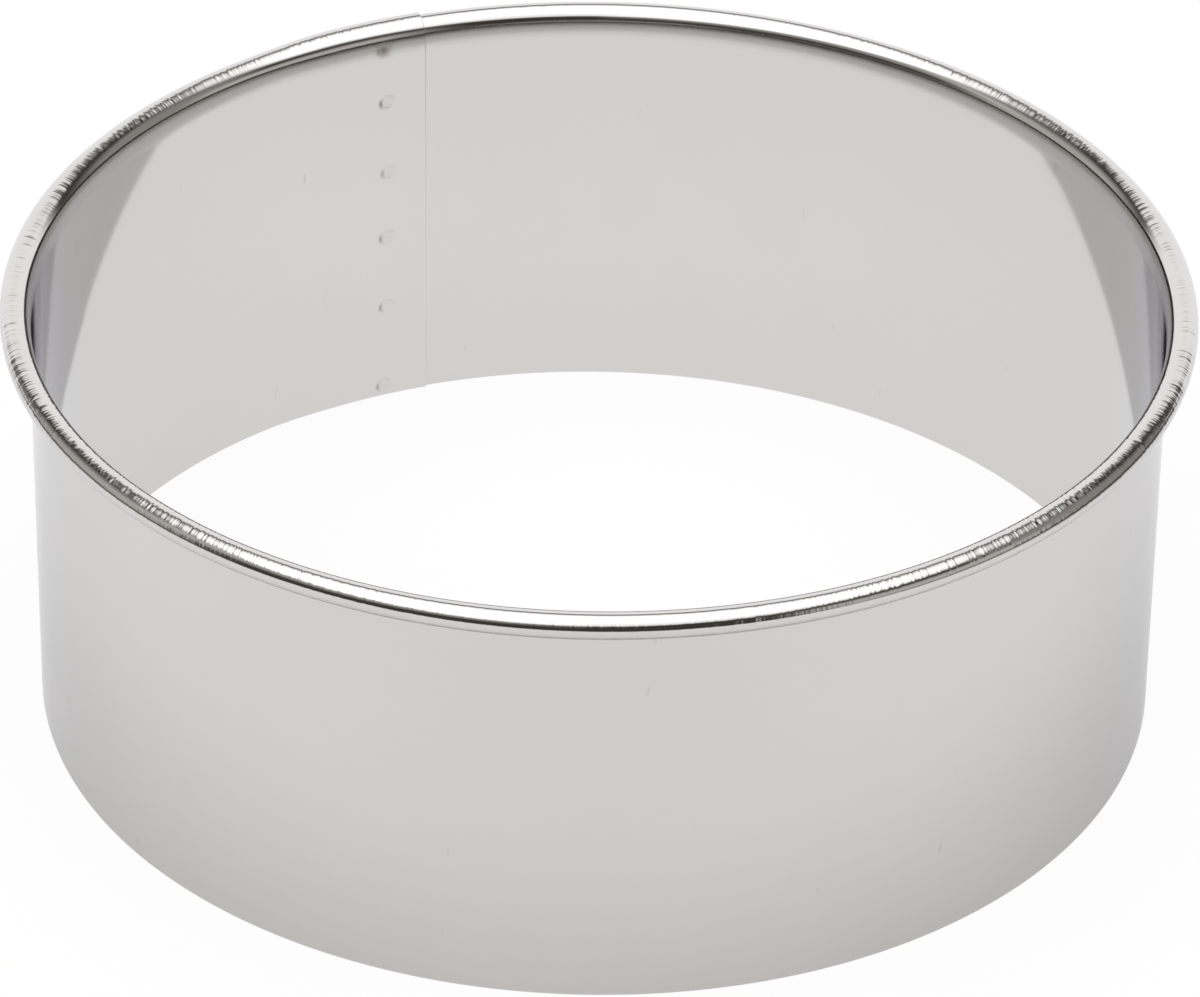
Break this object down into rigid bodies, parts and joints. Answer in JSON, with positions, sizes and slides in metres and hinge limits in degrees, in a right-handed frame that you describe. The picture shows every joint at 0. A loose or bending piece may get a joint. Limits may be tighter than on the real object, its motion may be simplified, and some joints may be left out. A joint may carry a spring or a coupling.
{
  "type": "biscuit cutter",
  "caption": "Plain round pastry cutter: a thin steel ring open at both ends, with a cut lower edge, a lapped spot-welded seam and a wired rolled rim.",
  "frame": {"origin": "on the ring's axis, in the plane of the lower cutting edge", "axes": "+Z along the ring's axis, up from the cutting edge to the rolled rim; +X across the ring; the seam's inner end lies at 109.5 degrees from +X towards +Y"},
  "size_m": [0.105, 0.105, 0.0401],
  "materials": {
    "band_steel": "satin stainless sheet, brighter on the rolled rim",
    "wire_steel": "plain drawn wire",
    "weld_steel": "dull fused steel with a faint heat tint"
  },
  "bodies": {
    "root": {"cutter_band": "band_steel", "rim_wire": "wire_steel", "spot_welds": "weld_steel"}
  },
  "joints": []
}
